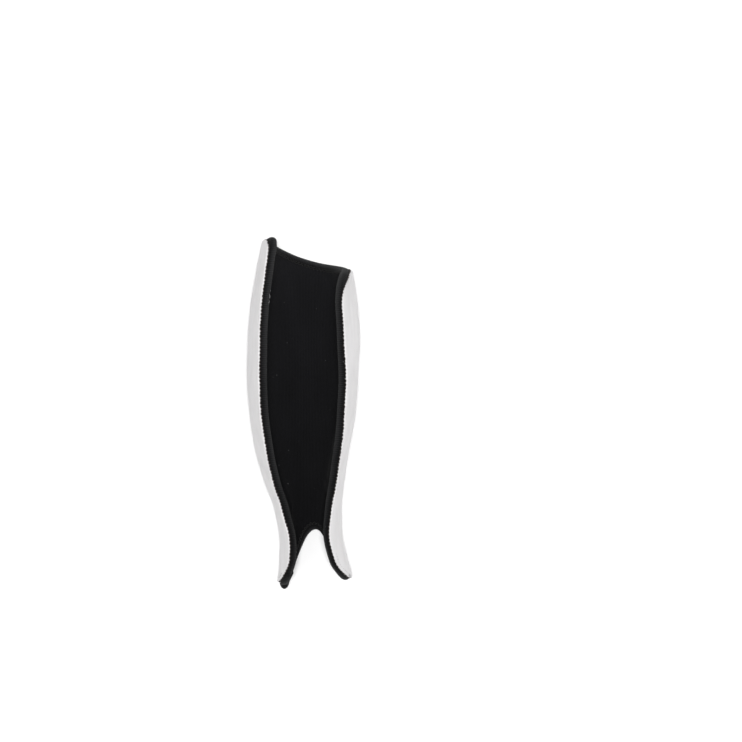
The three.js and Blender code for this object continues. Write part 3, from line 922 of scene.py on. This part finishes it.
def studio():
    """A pale floor, soft lights overhead and at both sides, and a camera overhead as in the photograph."""
    floor_mesh = bpy.data.meshes.new("floor")
    reach = FLOOR_REACH * MM
    corners = [(-reach, -reach, 0), (reach, -reach, 0), (reach, reach, 0), (-reach, reach, 0)]
    floor_mesh.from_pydata(corners, [], [(0, 1, 2, 3)])
    floor = add_object("floor", floor_mesh)
    material, _, _ = material_base("pale_floor", roughness=0.9, Base_Color=(*FLOOR_COLOUR, 1))
    floor_mesh.materials.append(material)
    world = bpy.data.worlds.new("studio")
    world.use_nodes = True
    background = world.node_tree.nodes["Background"]
    background.inputs["Color"].default_value = (1, 1, 1, 1)
    background.inputs["Strength"].default_value = WORLD_STRENGTH
    bpy.context.scene.world = world
    for name, place, size, power in LIGHTS:
        light = bpy.data.lights.new(name, "AREA")
        light.shape, light.size, light.energy = "DISK", size, power
        lamp = add_object(name, light)
        lamp.location = place
        lamp.rotation_euler = (-Vector(place)).to_track_quat("-Z", "Y").to_euler()
    camera = bpy.data.cameras.new("camera")
    camera.sensor_width = SENSOR_WIDTH
    camera.lens = SENSOR_WIDTH * FOCAL_PIXELS / PICTURE_PIXELS
    eye = add_object("camera", camera)
    eye.location = ((CAMERA_ACROSS + SHIFT[0]) * MM, (CAMERA_ALONG + SHIFT[1]) * MM, CAMERA_HEIGHT * MM)
    bpy.context.scene.camera = eye
    bpy.context.scene.view_settings.view_transform = "Standard"


shell_form = shell_surface()
cad_low, cad_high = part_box("outer_shell")

# From the outline's own frame, in millimetres, to the solids'
SHIFT = np.array([*((np.array(cad_low) + np.array(cad_high)) / 2 / MM - shell_form.middle())[:2], 0])

ribbed = cloth_material("ribbed_tape", **TAPE_CLOTH)
threads = {name: thread_material(name, colours) for name, colours in THREAD_COLOURS.items()}

keep(shell_form.object("moulded_shell", shell_plastic()), "white_shell", "outer_shell")
liner = liner_surface().object("knit_liner", cloth_material("liner_knit", **KNIT_CLOTH))
swell(liner)
smoothing = liner.modifiers.new("smooth", "SUBSURF")
smoothing.levels = smoothing.render_levels = LINER_SUBDIVISION
keep(liner, "black_liner", "padded_liner")
keep(tape_surface().object("binding_tape", ribbed), "black_binding", "edge_binding")
keep(tape_end_surface().object("rolled_tape_end", ribbed), "black_binding", "binding_end")

# Rows of threads along the edge: the piece, its thread, its start and end, its inset and depth, the way out
# of the surface and the cut that it follows, then the thread tree's sizes in millimetres, and its manners
WHOLE_EDGE = (0, EDGE_LENGTH)
HIGH_TIP = SIDE_LENGTHS[0]
LOW_TIP = SIDE_LENGTHS[0] + SIDE_LENGTHS[1]
OUT_OF_EDGE, OUT_OF_SHELL, INTO_HOLLOW, OFF_THE_NOSE = (-1, 0), (0, -1), (0, 1), (-0.8, 0.6)
THREAD_SIZES = ("Pitch", "Half Length", "Foot", "Bow Across", "Bow Out", "Thickness")
THREAD_MANNERS = ("Slant", "Unevenness", "Seed")
THREAD_ROWS = [
    ("edge_scallops", "brown_black_thread", WHOLE_EDGE, 2.25, SHELL_THICKNESS + 0.1, OUT_OF_EDGE, corner_cut,
     (3.5, 1.6, 0.3, -2.1, 0.1, 0.8), (0.0, 0.35, 3)),
    ("leg_stitches", "black_thread", WHOLE_EDGE, 5.4, TAPE_INSIDE + 0.05, INTO_HOLLOW, uncut,
     (3.0, 1.1, 0.0, 0.0, 0.7, 0.5), (0.0, 0.08, 5)),
    ("leg_zigzag", "black_thread", WHOLE_EDGE, 6.9, TAPE_INSIDE - 0.1, INTO_HOLLOW, uncut,
     (1.9, 1.3, 0.0, 0.0, 0.9, 0.5), (0.7, 0.1, 7)),
    ("lobe_stitches", "grey_thread", (LOW_TIP + 5, LOW_TIP + 34), 5.0, 0.0, OUT_OF_SHELL, uncut,
     (2.7, 0.55, 0.0, 0.0, 0.35, 0.5), (0.0, 0.3, 9)),
    ("high_lobe_pits", "grey_thread", (HIGH_TIP - 9, HIGH_TIP - 1), 4.2, 0.0, OUT_OF_SHELL, uncut,
     (2.7, 0.6, 0.0, 0.0, 0.35, 0.6), (0.4, 0.4, 11)),
    ("frayed_end", "grey_thread", (LOW_TIP - 1, LOW_TIP + 4), 3.2, -0.1, OUT_OF_SHELL, uncut,
     (0.7, 1.7, 0.0, 0.4, 0.5, 0.28), (1.0, 0.7, 13)),
    ("lint_threads", "grey_thread", (50, 61), 0.5, TAPE_INSIDE - 1.6, OFF_THE_NOSE, uncut,
     (5.0, 1.8, 0.0, 0.3, 0.3, 0.22), (0.3, 0.5, 15)),
]
tree = thread_row_tree()
for name, thread, lengths, inset, depth_in, toward, cut_back, sizes, manner in THREAD_ROWS:
    row = edge_line(name, lengths, inset, depth_in, toward, cut_back)
    scaled = {socket: value * MM for socket, value in zip(THREAD_SIZES, sizes)}
    set_threads(row, tree, {**scaled, **dict(zip(THREAD_MANNERS, manner)), "Material": threads[thread]})
    keep(row, "black_binding")

studio()
